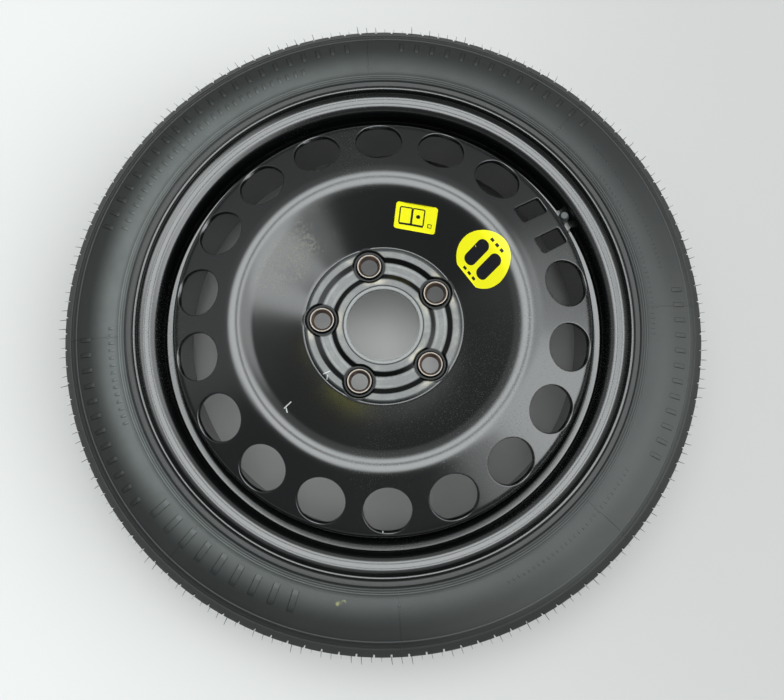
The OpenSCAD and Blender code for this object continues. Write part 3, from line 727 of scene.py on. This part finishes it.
def hubSector():
    half = math.pi / hub["bolts"]
    scale = hub["pcd"] / 2
    angles = np.linspace(-half, half, 73)
    rows = [s for s in face.along if s < hubEnd] + [hubEnd]
    extra = np.arange(face.lengthAt(34.0), hubEnd, 1.6)
    rows = sorted(rows + [s for s in extra if min(abs(s - t) for t in rows) > 0.7])
    points, loops = [], []
    reach = hub["lobe"][1] + 0.6
    for s in rows:
        r = float(face.at(s)[0])
        for i, a in enumerate(angles):
            if math.hypot(r * math.cos(a) - scale, r * math.sin(a)) > reach or i in (0, len(angles) - 1):
                points.append((s, a * scale))
    half, seat = hub["hole"] / 2, hub["seat"] / 2
    circles = [half, half + 0.8, seat - 0.8, seat, *hub["boss"], 12.8, 13.6, 14.0, 14.5, 15.0, 15.6, 16.0,
               16.5, 17.0, 17.6]
    for d in circles:
        start = len(points)
        for k in range(96):
            x, y = scale + d * math.cos(k * math.pi / 48), d * math.sin(k * math.pi / 48)
            points.append((float(face.lengthAt(math.hypot(x, y))), math.atan2(y, x) * scale))
        loops.append(list(range(start, start + 96)))

    def keep(p):
        r = face.at(p[:, 0])[0]
        a = p[:, 1] / scale
        return np.hypot(r * np.cos(a) - scale, r * np.sin(a)) > half

    flat, faces = sectorFaces(points, loops, keep)
    rim = [(flat[i, 0], flat[i, 1] / scale) for i in loops[0]]
    return flat[:, 0], flat[:, 1] / scale, faces, [rim], np.zeros(len(flat))


def outlineOfVent(grow):
    # a round hole cut square to the cone, as directions and distances in the cone's plane
    turns = np.arange(64) * math.pi / 32
    return [((disc["vent"] / 2 + grow) * math.cos(t), (disc["vent"] / 2 + grow) * math.sin(t)) for t in turns]


def outlineOfWindow(side):
    def ring(grow):
        length, width, corner = disc["window"]
        arcs = boxCorners(length / 2 - corner, width / 2 - corner, side, corner + grow, 8)
        found = []
        for arc, after in zip(arcs, arcs[1:] + arcs[:1]):
            (x, y), (nextX, nextY) = arc[-1], after[0]
            found += arc + [(x + (nextX - x) * j / 5, y + (nextY - y) * j / 5) for j in (1, 2, 3, 4)]
        return found
    return ring


def onFace(x, y, at, height, slope):
    # where a line square to a sloping plane meets the disc's face, as length along the section and angle
    base = np.array([at + x * math.cos(slope), y, height + x * math.sin(slope)])
    way = np.array([-math.sin(slope), 0.0, math.cos(slope)])
    low, high = -14.0, 14.0
    for _ in range(40):
        t = (low + high) / 2
        p = base + t * way
        r = math.hypot(p[0], p[1])
        surface = float(np.interp(r, face.points[:-1, 0], face.points[:-1, 1]))
        if p[2] > surface:
            high = t
        else:
            low = t
    return float(face.lengthAt(r)), math.atan2(p[1], p[0])


def coneSector(shapes):
    half = math.pi / disc["vents"]
    scale = disc["ventAt"]
    angles = np.linspace(-half, half, 21)
    rows = [s for s in face.along if coneStart < s < skirtStart - 0.01] + [coneStart, skirtStart]
    extra = np.arange(coneStart, skirtStart, 2.6)
    rows = sorted(rows + [s for s in extra if min(abs(s - t) for t in rows) > 1.0])
    grows = [0.0, 0.3, 0.6, 0.9, 1.5, 2.4]
    points, loops, outer = [], [], []
    for shape in shapes:
        for grow in grows:
            ring = [onFace(x, y, disc["ventAt"], ventHeight, -coneSlope) for x, y in shape(grow)]
            start = len(points)
            points += [(s, a * scale) for s, a in ring]
            loops.append(list(range(start, start + len(ring))))
        outer.append(np.array(points[start:]))
    for s in rows:
        for i, a in enumerate(angles):
            p = np.array([s, a * scale])
            inside = any(insideLoop(p, loop) or np.hypot(*(loop - p).T).min() < 0.8 for loop in outer)
            if not inside or i in (0, len(angles) - 1):
                points.append((s, a * scale))
    holes = [np.array([points[i] for i in loop]) for loop in loops[::len(grows)]]

    def keep(middles):
        return np.array([not any(insideLoop(p, hole) for hole in holes) for p in middles])

    flat, faces = sectorFaces(points, loops, keep)
    rims = [[(points[i][0], points[i][1] / scale) for i in loop] for loop in loops[::len(grows)]]
    sinks = np.zeros(len(flat))
    for k, loop in enumerate(loops):
        short = max(0.0, disc["roll"] - grows[k % len(grows)])
        sinks[loop] = disc["roll"] - math.sqrt(disc["roll"] ** 2 - short ** 2)
    return flat[:, 0], flat[:, 1] / scale, faces, rims, sinks


def insideLoop(p, loop):
    x, y = loop[:, 0] - p[0], loop[:, 1] - p[1]
    nextX, nextY = np.roll(x, -1), np.roll(y, -1)
    crosses = (y > 0) != (nextY > 0)
    with np.errstate(divide="ignore", invalid="ignore"):
        at = x + (nextX - x) * (0 - y) / (nextY - y)
    return bool(np.sum(crosses & (at > 0)) % 2)


def makeDisc(material):
    points, faces = [], []
    count = 360
    turns = np.radians(np.arange(count + 1) * 360.0 / count)

    def add(new, newFaces):
        start = len(points)
        points.extend(np.asarray(new).tolist())
        faces.extend([tuple(int(i) + start for i in f) for f in newFaces])

    def addSector(s, a, tris, rims, sinks, turn):
        # both faces and the walls of the holes, whose outer edges are rolled over by the punch
        add(discPoints(s, a + turn, sink=sinks), tris)
        add(discPoints(s, a + turn, True), tris[:, ::-1])
        for rim in rims:
            rs, ra = np.array([p[0] for p in rim]), np.array([p[1] for p in rim]) + turn
            front, rear = discPoints(rs, ra, sink=sinks.max()), discPoints(rs, ra, True)
            n = len(rim)
            add(np.vstack([front, rear]), [(i, (i + 1) % n, n + (i + 1) % n, n + i) for i in range(n)])

    def ring(s, back):
        return discPoints(np.full(count + 1, s), turns, back)

    def addStrips(rows):
        n = count + 1
        add(np.vstack(rows), [(j * n + i, j * n + i + 1, (j + 1) * n + i + 1, (j + 1) * n + i)
                              for j in range(len(rows) - 1) for i in range(count)])

    sector = hubSector()
    for k in range(hub["bolts"]):
        addSector(*sector, math.radians(360.0 / hub["bolts"] * k))
    vent = coneSector([outlineOfVent])
    reach = (disc["web"] + disc["window"][1]) / 2
    windows = coneSector([outlineOfWindow(-reach), outlineOfWindow(reach)])
    addSector(*windows, 0.0)
    for k in range(1, disc["vents"]):
        addSector(*vent, math.radians(360.0 / disc["vents"] * k))
    dish = [hubEnd] + [s for s in face.along if hubEnd + 0.5 < s < coneStart - 0.3] + [coneStart]
    skirt = [skirtStart, face.along[-1] - 1.0, face.along[-1]]
    for lengths in (dish, skirt):
        for back in (False, True):
            addStrips([ring(s, back) for s in lengths])
    for s in (0.0, face.along[-1]):
        addStrips([ring(s, False), ring(s, True)])
    return pieceFrom("disc_pressing", points, faces, material, 40.0, 0.01)


# the tyre: base turned in one, shoulder blocks set round it
tyre = {"gap": 0.15, "half": 60.7, "radius": 286.6, "tread": 42.0, "drop": 1.2, "wall": 7.0,
        "treadThick": 10.5, "grooveWidth": 5.0, "grooveDepth": 4.0, "grooveBends": (0.7, 0.9), "blocks": 120,
        "slotWidth": 1.6, "slotReach": 16.0, "slotDepth": 3.0, "edge": (12.9, 12.62),
        "ribs": [[226.1, 0.9, 0.8], [228.6, 0.4, 0.25], [230.6, 0.4, 0.25], [232.4, 0.4, 0.2],
                 [270.9, 0.8, 0.5], [276.5, 0.8, 0.5]]}


def treadRadius(z):
    return tyre["radius"] - tyre["drop"] * abs(z) / tyre["tread"]


def tyreCorners():
    # corners of the outer wall from bead to shoulder, of the tread up to its middle, and of the hollow
    t, w = tyre, wheel
    deep = t["radius"] - t["grooveDepth"]
    half = t["grooveWidth"] / 2
    shoulder = treadRadius(t["tread"])
    wall = shoulder - flangeRadius
    run, fall = t["edge"]
    beadRadius, flangeSide = w["rimRadius"] + t["gap"], w["halfWidth"] - t["gap"]
    side = [[seatEndRadius + t["gap"], seatEnd + 0.5, 0], [beadRadius, flangeSide, w["beadBend"] + t["gap"]],
            [flangeRadius + t["gap"], flangeSide, w["curl"] + t["gap"]],
            [flangeRadius + t["gap"], w["halfWidth"] + w["curl"] - 0.5, 0],
            [flangeRadius + 1.6, t["half"], 1], [flangeRadius + 0.4 * wall, t["half"], 1.38 * wall],
            [shoulder - run, t["tread"] + fall, 14], [shoulder, t["tread"], 1.5]]
    outer = t["tread"] / 2
    crest, foot = t["grooveBends"]
    tread = [[treadRadius(outer + half), outer + half, crest], [deep, outer + half - 0.4, foot],
             [deep, outer - half + 0.4, foot], [treadRadius(outer - half), outer - half, crest],
             [treadRadius(half), half, crest], [deep, half - 0.4, foot], [deep, 0, 0]]
    inner = [[side[0][0], side[0][1], 0], [w["rimRadius"] + 9, seatEnd, 6],
             [flangeRadius + 4, t["half"] - t["wall"], 12],
             [flangeRadius + 0.38 * wall, t["half"] - t["wall"], 30],
             [shoulder - t["treadThick"] - 2, t["tread"] + 2, 16], [t["radius"] - t["treadThick"], 0, 0]]
    return side, tread, inner


def makeTyre(material):
    side, tread, inner = tyreCorners()
    whole = bentOutline(side + tread, 0, 6)
    floor = treadRadius(tyre["tread"]) - tyre["slotDepth"]
    shoulder = tyre["tread"] - tyre["slotReach"]
    isBlock = (whole[:, 0] > floor) & (whole[:, 1] > shoulder)
    first, last = np.flatnonzero(isBlock)[[0, -1]]
    foot = interpolated(whole[first - 1], whole[first], 0, floor)
    head = interpolated(whole[last], whole[last + 1], 1, shoulder)
    sides = ribbed(np.vstack([whole[:first], [foot]]), tyre["ribs"])
    base = np.vstack([sides, [[floor, shoulder]], [head], whole[last + 1:]])
    hollow = bentOutline(inner, 0, 14)
    section = np.vstack([base, base[::-1] * [1, -1], hollow * [1, -1], hollow[::-1]])
    section = section[np.append(True, np.hypot(*np.diff(section, axis=0).T) > 1e-4)]
    points, faces = turned(raised(section, middle), 300)
    body = pieceFrom("tyre_casing", points, faces, material, 38.0)

    root = [[floor - 0.4, shoulder], [floor - 0.4, foot[1] - 0.2]]
    block = np.vstack([[foot], whole[first:last + 1], [head], root])
    gap = tyre["slotWidth"] / treadRadius(shoulder)
    pitch = 2 * math.pi / tyre["blocks"]
    parts = []
    for way in (1, -1):
        turns = np.linspace(-(pitch - gap) / 2, (pitch - gap) / 2, 3)
        grid = [[r * math.cos(a), r * math.sin(a), way * z] for a in turns for r, z in block]
        item = pieceFrom("block", grid, tube(len(turns), len(block)), material)
        parts.append(ringOf("blocks", item, material, 30.0, Count=tyre["blocks"], Height=middle * mm,
                            Start=pitch / 2 if way > 0 else 0.0))
    return body, joined("tread_blocks", parts)


def interpolated(a, b, axis, value):
    share = (value - a[axis]) / (b[axis] - a[axis])
    return np.asarray(a) + share * (np.asarray(b) - a)


# labels: printed film on the dished wall, cut to an outline in its own plane, x up the wall and y across
label = {"gap": 0.1, "thick": 0.3, "bookAt": 97.5, "bookAngle": 41.2, "bookSize": (25.0, 37.5), "corner": 2.5,
         "roundAt": 102.5, "roundAngle": 0.0, "roundSize": 51.5, "flat": 22.0, "turn": math.radians(7.0)}


def bookOutline():
    x, y = (size / 2 - label["corner"] for size in label["bookSize"])
    return sum(boxCorners(x, y, 0.0, label["corner"], 6), [])


def roundOutline():
    radius = label["roundSize"] / 2
    reach = math.acos(-label["flat"] / radius)
    return [(radius * math.cos(t), radius * math.sin(t)) for t in np.linspace(-reach, reach, 65)]


def makeLabel(name, outline, angle, at, material):
    height = disc["valley"][1] + (at - disc["valley"][0]) * math.tan(wallSlope)
    edge = np.array(outline)
    grid = np.arange(-25.5, 25.6, 1.5)
    inside = [(x, y) for x in grid for y in grid
              if insideLoop(np.array([x, y]), edge) and np.hypot(*(edge - [x, y]).T).min() > 0.7]
    c, w = math.cos(label["turn"]), math.sin(label["turn"])
    spots = [onFace(x * c - y * w, x * w + y * c, at, height, wallSlope) for x, y in outline + inside]
    n = len(outline)
    loop = np.array([(s, a * at) for s, a in spots[:n]])
    flat, tris = sectorFaces([(s, a * at) for s, a in spots], [list(range(n))],
                             lambda middles: np.array([insideLoop(p, loop) for p in middles]))
    turns = flat[:, 1] / at + math.radians(angle)
    sides = []
    for lift in (label["gap"] + label["thick"], label["gap"]):
        r, z = face.at(flat[:, 0])
        nr, nz = face.normal(flat[:, 0])
        r, z = r + lift * nr, z + lift * nz
        sides.append(np.stack([r * np.cos(turns), r * np.sin(turns), z], 1))
    m = len(flat)
    faces = [tuple(int(i) for i in f) for f in tris] + [tuple(int(i) + m for i in f[::-1]) for f in tris]
    faces += [(i, (i + 1) % n, m + (i + 1) % n, m + i) for i in range(n)]
    return pieceFrom(name, np.vstack(sides), faces, material)


# brass stem: the thread is cut as one helix
def makeStem(material):
    v = valve
    rubberTop = v["length"] - v["threadLength"] + 0.05
    inner, outer, crest = v["bore"] / 2, v["bore"] / 2 + v["wall"], v["thread"] / 2
    chamfer, pitch, depth = v["chamfer"], v["pitch"], v["threadDepth"]
    rows = np.arange(rubberTop + 0.1, v["length"] - chamfer, pitch / 8)
    low = -wheel["sheet"] - 6
    outline = [[inner, low], [outer, low], [outer, rubberTop], [crest, rubberTop]]
    outline += [[crest, z] for z in rows]
    outline += [[crest, v["length"] - chamfer], [crest - chamfer, v["length"]], [inner + 0.2, v["length"]],
                [inner, v["length"] - 0.2]]
    points, faces = turned(outline, 64)
    angle = np.arctan2(points[:, 1], points[:, 0])
    r, z = np.hypot(points[:, 0], points[:, 1]), points[:, 2]
    wave = abs(2 * ((z / pitch - angle / (2 * math.pi)) % 1) - 1)
    fade = easing(z, rows[0], rows[0] + 0.7) * (1 - easing(z, rows[-1] - 0.5, rows[-1] + 0.1))
    r = np.where(r > crest - 0.01, r - depth * fade * np.clip(wave * 1.5 - 0.25, 0, 1), r)
    points = np.stack([r * np.cos(angle), r * np.sin(angle), z], 1)
    return pieceFrom("threaded_stem", onValve(points), faces, material, 50.0, 0.0005)


# weld runs that join the skirt to the well, each laid in overlapping puddles
weld = {"runs": 6, "arc": 34.0, "leg": 3.4, "puddle": 1.9, "ripple": 0.05, "gap": 0.08}


def makeWelds(material):
    at = wheel["rimRadius"] - wheel["wellDepth"] - wheel["sheet"] - weld["gap"]
    top = middle - disc["skirtEnd"] - weld["gap"]
    half = math.radians(weld["arc"]) / 2
    length = 2 * half * at
    along = np.linspace(0.0, length, 300)
    across = np.linspace(0.0, math.pi / 2, 9)
    points = []
    for s in along:
        a = s / at - half
        close = min(1.0, 0.35 + math.sqrt(max(0.0, min(s, length - s)) / 3.0) * 0.65)
        points.append([at * math.cos(a), at * math.sin(a), top])
        for c in across:
            crescent = s / weld["puddle"] + 0.45 * math.sin(2 * c)
            dip = weld["ripple"] * abs(math.sin(math.pi * crescent))
            reach = weld["leg"] * close * (1 - 0.10 * math.sin(2 * c) - dip)
            r = at - reach * math.sin(c)
            points.append([r * math.cos(a), r * math.sin(a), top - reach * math.cos(c)])
    item = pieceFrom("weldRun", points, tube(len(along), len(across) + 1), material, 50.0)
    return ringOf("weld_runs", item, material, 50.0, Count=weld["runs"], Start=math.pi / weld["runs"])


# marks moulded on the walls: plain raised bars in rows, mould joints and vent whiskers
# bars: [inner radius, outer radius, half width, rise, count, start, arc]
moulded = {"bars": [[229.0, 281.0, 0.2, 0.45, 8, 61.8, 360.0], [239.5, 242.5, 1.3, 0.45, 8, 61.8, 360.0],
                    [257.0, 267.0, 2.3, 0.75, 14, 14.0, 44.0], [257.0, 267.0, 2.3, 0.75, 22, 66.0, 66.0],
                    [257.0, 267.0, 2.3, 0.75, 12, 152.0, 36.0], [257.0, 267.0, 2.3, 0.75, 12, -58.0, 36.0],
                    [239.0, 258.0, 3.4, 0.8, 9, -171.0, 36.0], [243.0, 250.0, 1.7, 0.6, 30, 76.0, 54.0],
                    [235.0, 238.6, 1.0, 0.5, 34, -34.0, 38.0], [243.0, 246.6, 1.0, 0.5, 30, -96.0, 34.0],
                    [249.0, 252.0, 1.0, 0.5, 30, -20.0, 30.0], [236.0, 241.0, 1.4, 0.6, 14, 150.0, 22.0]],
           "root": 0.3, "whiskers": 210, "whisker": 5.2, "whiskerRadius": 0.28, "whiskerBend": 0.5}


def wallHeight(radius):
    return np.interp(radius, wallLine[:, 0], wallLine[:, 1])


def barItem(low, high, half, rise, material, way):
    rows = np.linspace(low, high, max(3, int((high - low) / 2.5) + 2))
    points = []
    for i, r in enumerate(rows):
        foot = way * (wallHeight(r) - moulded["root"])
        top = way * (wallHeight(r) + rise * (0.35 if i in (0, len(rows) - 1) else 1.0))
        points += [[r, -half, foot], [r, half, foot], [r, half * 0.7, top], [r, -half * 0.7, top]]
    return pieceFrom("bar", points, tube(len(rows), 4), material)


def makeMarks(material):
    parts = []
    for way in (1, -1):
        for low, high, half, rise, count, start, arc in moulded["bars"]:
            item = barItem(low, high, half, rise, material, way)
            parts.append(ringOf("bars", item, material, 30.0, Count=count, Height=middle * mm,
                                Start=math.radians(start), Arc=math.radians(arc)))
    return joined("moulded_marks", parts)


def makeWhiskers(material):
    rows, sides = 5, 5
    points = []
    for j in range(rows + 1):
        share = j / rows
        r = moulded["whiskerRadius"] * (1 - 0.55 * share)
        out, bend = moulded["whisker"] * share - moulded["root"], moulded["whiskerBend"] * share * share
        for i in range(sides):
            a = 2 * math.pi * i / sides
            points.append([out, r * math.cos(a) + bend, r * math.sin(a)])
    parts = []
    for way, seed in ((1, 3), (-1, 8)):
        item = pieceFrom("whisker", points, tube(rows + 1, sides), material, 60.0)
        height = middle + way * (tyre["tread"] - 0.6)
        wants = {"Count": moulded["whiskers"], "Height": height * mm, "Seed": seed, "Turn spread": 0.38,
                 "Radius": (treadRadius(tyre["tread"]) - 0.4) * mm, "Size spread": 0.4}
        parts.append(ringOf("whiskers", item, material, 60.0, **wants))
    return joined("vent_whiskers", parts)


bare = bpy.data.materials.new("bare")
paint = {"rim": blackPaint("rim paint"), "disc": blackPaint("disc paint", worn=True),
         "weld": blackPaint("weld paint")}
rubberFinish = rubber()
bookPrint = printed("book label print", label["bookAngle"], label["bookAt"], [
    ((0.6, 9.3), (8.2, 5.9), 1.8, 0.0, 1.2), ((0.6, -2.0), (8.2, 5.9), 1.8, 0.0, 1.2),
    ((-7.4, 3.6), (0.9, 11.0), 0.6, 0.0, 0), ((1.0, -2.0), (1.8, 1.8), 1.7, 0.0, 0),
    ((-5.6, -13.2), (1.9, 1.9), 0.25, 0.0, 0.7)])
roundPrint = printed("round label print", label["roundAngle"], label["roundAt"], [
    ((0.0, v), (14.2, 6.0), 5.6, 0.0, 0) for v in (8.4, -8.4)] + [
    ((u, v), (1.3, 1.8), 0.4, 0.0, 0) for u in (18.6, -18.4) for v in (-6.2, 0.0, 6.2)])
print("materials ready")


def wear(piece, node, body="wheel"):
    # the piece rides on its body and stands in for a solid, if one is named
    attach(piece, body)
    if node:
        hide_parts(node)


rim = makeRim(paint["rim"])
wear(rim, "rim")
print("rim pressing ready, triangles", triangles(rim))

discPiece = makeDisc(paint["disc"])
wear(discPiece, "disc")
print("disc pressing ready, triangles", triangles(discPiece))

casing, blocks = makeTyre(rubberFinish)
wallLine = bentOutline(tyreCorners()[0], 0, 5)
wallLine = wallLine[wallLine[:, 0] > flangeRadius + 2.2]
wear(casing, "tyre")
wear(blocks, None)
marks, whiskers = makeMarks(rubberFinish), makeWhiskers(rubberFinish)
wear(marks, None)
wear(whiskers, None)
print("tyre ready, triangles", triangles(casing, blocks, marks, whiskers))

wear(makeWelds(paint["weld"]), "weld_beads")
bookPiece = makeLabel("book_print", bookOutline(), label["bookAngle"], label["bookAt"], bookPrint)
wear(bookPiece, "book_label")
roundPiece = makeLabel("round_print", roundOutline(), label["roundAngle"], label["roundAt"], roundPrint)
wear(roundPiece, "round_label")
brassFinish = plain("worn brass", (0.50, 0.36, 0.13), 0.34, 1.0)
wear(makeStem(brassFinish), "valve_stem")
for node, finish in (("valve_body", plain("valve rubber", (0.012, 0.013, 0.013), 0.45, ior=1.55)),
                     ("core_body", brassFinish), ("core_pin", brassFinish),
                     ("core_seal", plain("seal rubber", (0.02, 0.02, 0.02), 0.55)),
                     ("core_spring", plain("spring steel", (0.52, 0.53, 0.54), 0.26, 1.0)),
                     ("valve_cap", plain("cap plastic", (0.050, 0.056, 0.058), 0.32)),
                     ("cap_seal", plain("red seal", (0.42, 0.07, 0.035), 0.5))):
    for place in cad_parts[node].material_slots:
        place.material = finish
print("labels, welds and valve ready")


def makeStage():
    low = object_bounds()[0].z / mm
    s = Surface("studio floor")
    aside = s.x * view["right"][0] + s.y * view["right"][1] + s.noise(3.0, 3.0, 0.5) * studio["mottle"]
    # painted shade across the floor, then a painted pool of light under the bore
    colour = s.mix(s.step(aside, *studio["fade"]), *studio["tones"])
    colour = s.mix(s.step(s.radius, *studio["spotEdge"]), colour, studio["spot"])
    s.node("ShaderNodeOutputMaterial", {}, {0: s.wire("ShaderNodeBsdfDiffuse", {}, {0: colour})})
    half = studio["size"] / 2
    corners = [[-half, -half, low], [half, -half, low], [half, half, low], [-half, half, low]]
    pieceFrom("studio_floor", corners, [(0, 1, 2, 3)], s.material)


def makeLight():
    world = bpy.data.worlds.new("soft panels")
    bpy.context.scene.world = world
    world.use_nodes = True
    world.node_tree.nodes.clear()
    g = Graph(world.node_tree)
    way = g.node("ShaderNodeSeparateXYZ", {}, {0: g.wire("ShaderNodeTexCoord")})
    x, y, z = (Wire(g, way.outputs[i]) for i in range(3))
    angle = g.maths("ARCTAN2", y, x) * degree
    height = g.maths("ARCSINE", z) * degree
    glow = g.step(height, -5.0, 5.0) * light["sky"]
    for turns, turnEdge, heights, heightEdge, strength in light["panels"]:
        panel = g.band(angle, *turns, turnEdge) * g.band(height, *heights, heightEdge)
        glow = g.maths("MAXIMUM", glow, panel * strength)
    turn, rise = (math.radians(a) for a in light["shade"][:2])
    east, north, up = math.cos(rise) * math.cos(turn), math.cos(rise) * math.sin(turn), math.sin(rise)
    toward = x * east + y * north + z * up
    glow = glow * g.step(g.maths("ARCCOSINE", toward) * degree, *light["shade"][2:])
    back = g.wire("ShaderNodeBackground", {}, {0: (*light["colour"], 1.0), 1: glow})
    g.node("ShaderNodeOutputWorld", {}, {0: back})


def makeCamera():
    data = bpy.data.cameras.new("camera")
    data.lens, data.sensor_width = view["lens"], view["sensor"]
    camera = bpy.data.objects.new("camera", data)
    bpy.context.scene.collection.objects.link(camera)
    right, ahead = Vector(view["right"]).normalized(), Vector(view["ahead"]).normalized()
    up = right.cross(ahead)
    turn = Matrix((right, up, -ahead)).transposed().to_4x4()
    camera.matrix_world = Matrix.Translation(Vector(view["place"]) * mm) @ turn
    bpy.context.scene.camera = camera


makeStage()
makeLight()
makeCamera()
bpy.context.scene.view_settings.view_transform = "Standard"
